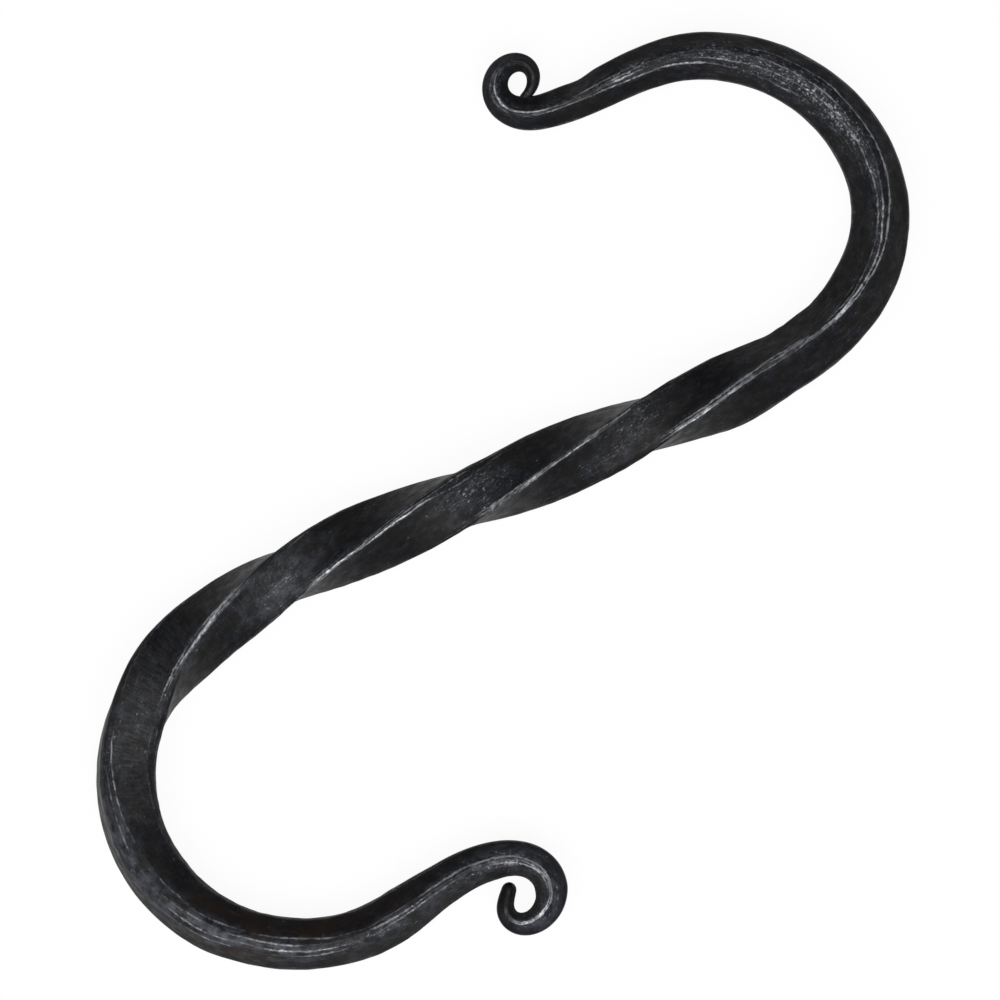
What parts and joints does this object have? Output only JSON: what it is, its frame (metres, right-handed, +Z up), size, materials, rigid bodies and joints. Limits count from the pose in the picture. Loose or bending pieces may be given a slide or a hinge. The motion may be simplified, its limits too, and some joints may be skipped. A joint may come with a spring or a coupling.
{
  "type": "s hook",
  "caption": "Hand-forged black steel S hook of square bar, twisted along its shank, tapering round both bowls and rolled into a small scroll at either end.",
  "frame": {"origin": "centre of the bounding box, on the surface that the hook lies on", "axes": "+Z up from the side that the hook lies on; +Y from the lower bowl to the upper bowl, the way the hook hangs; +X to the right when looking down on it"},
  "size_m": [0.0828, 0.1558, 0.0103],
  "materials": {
    "forged_steel": "waxed black forge scale, worn bright on the corners"
  },
  "bodies": {
    "root": {"hook": "forged_steel"}
  },
  "joints": []
}
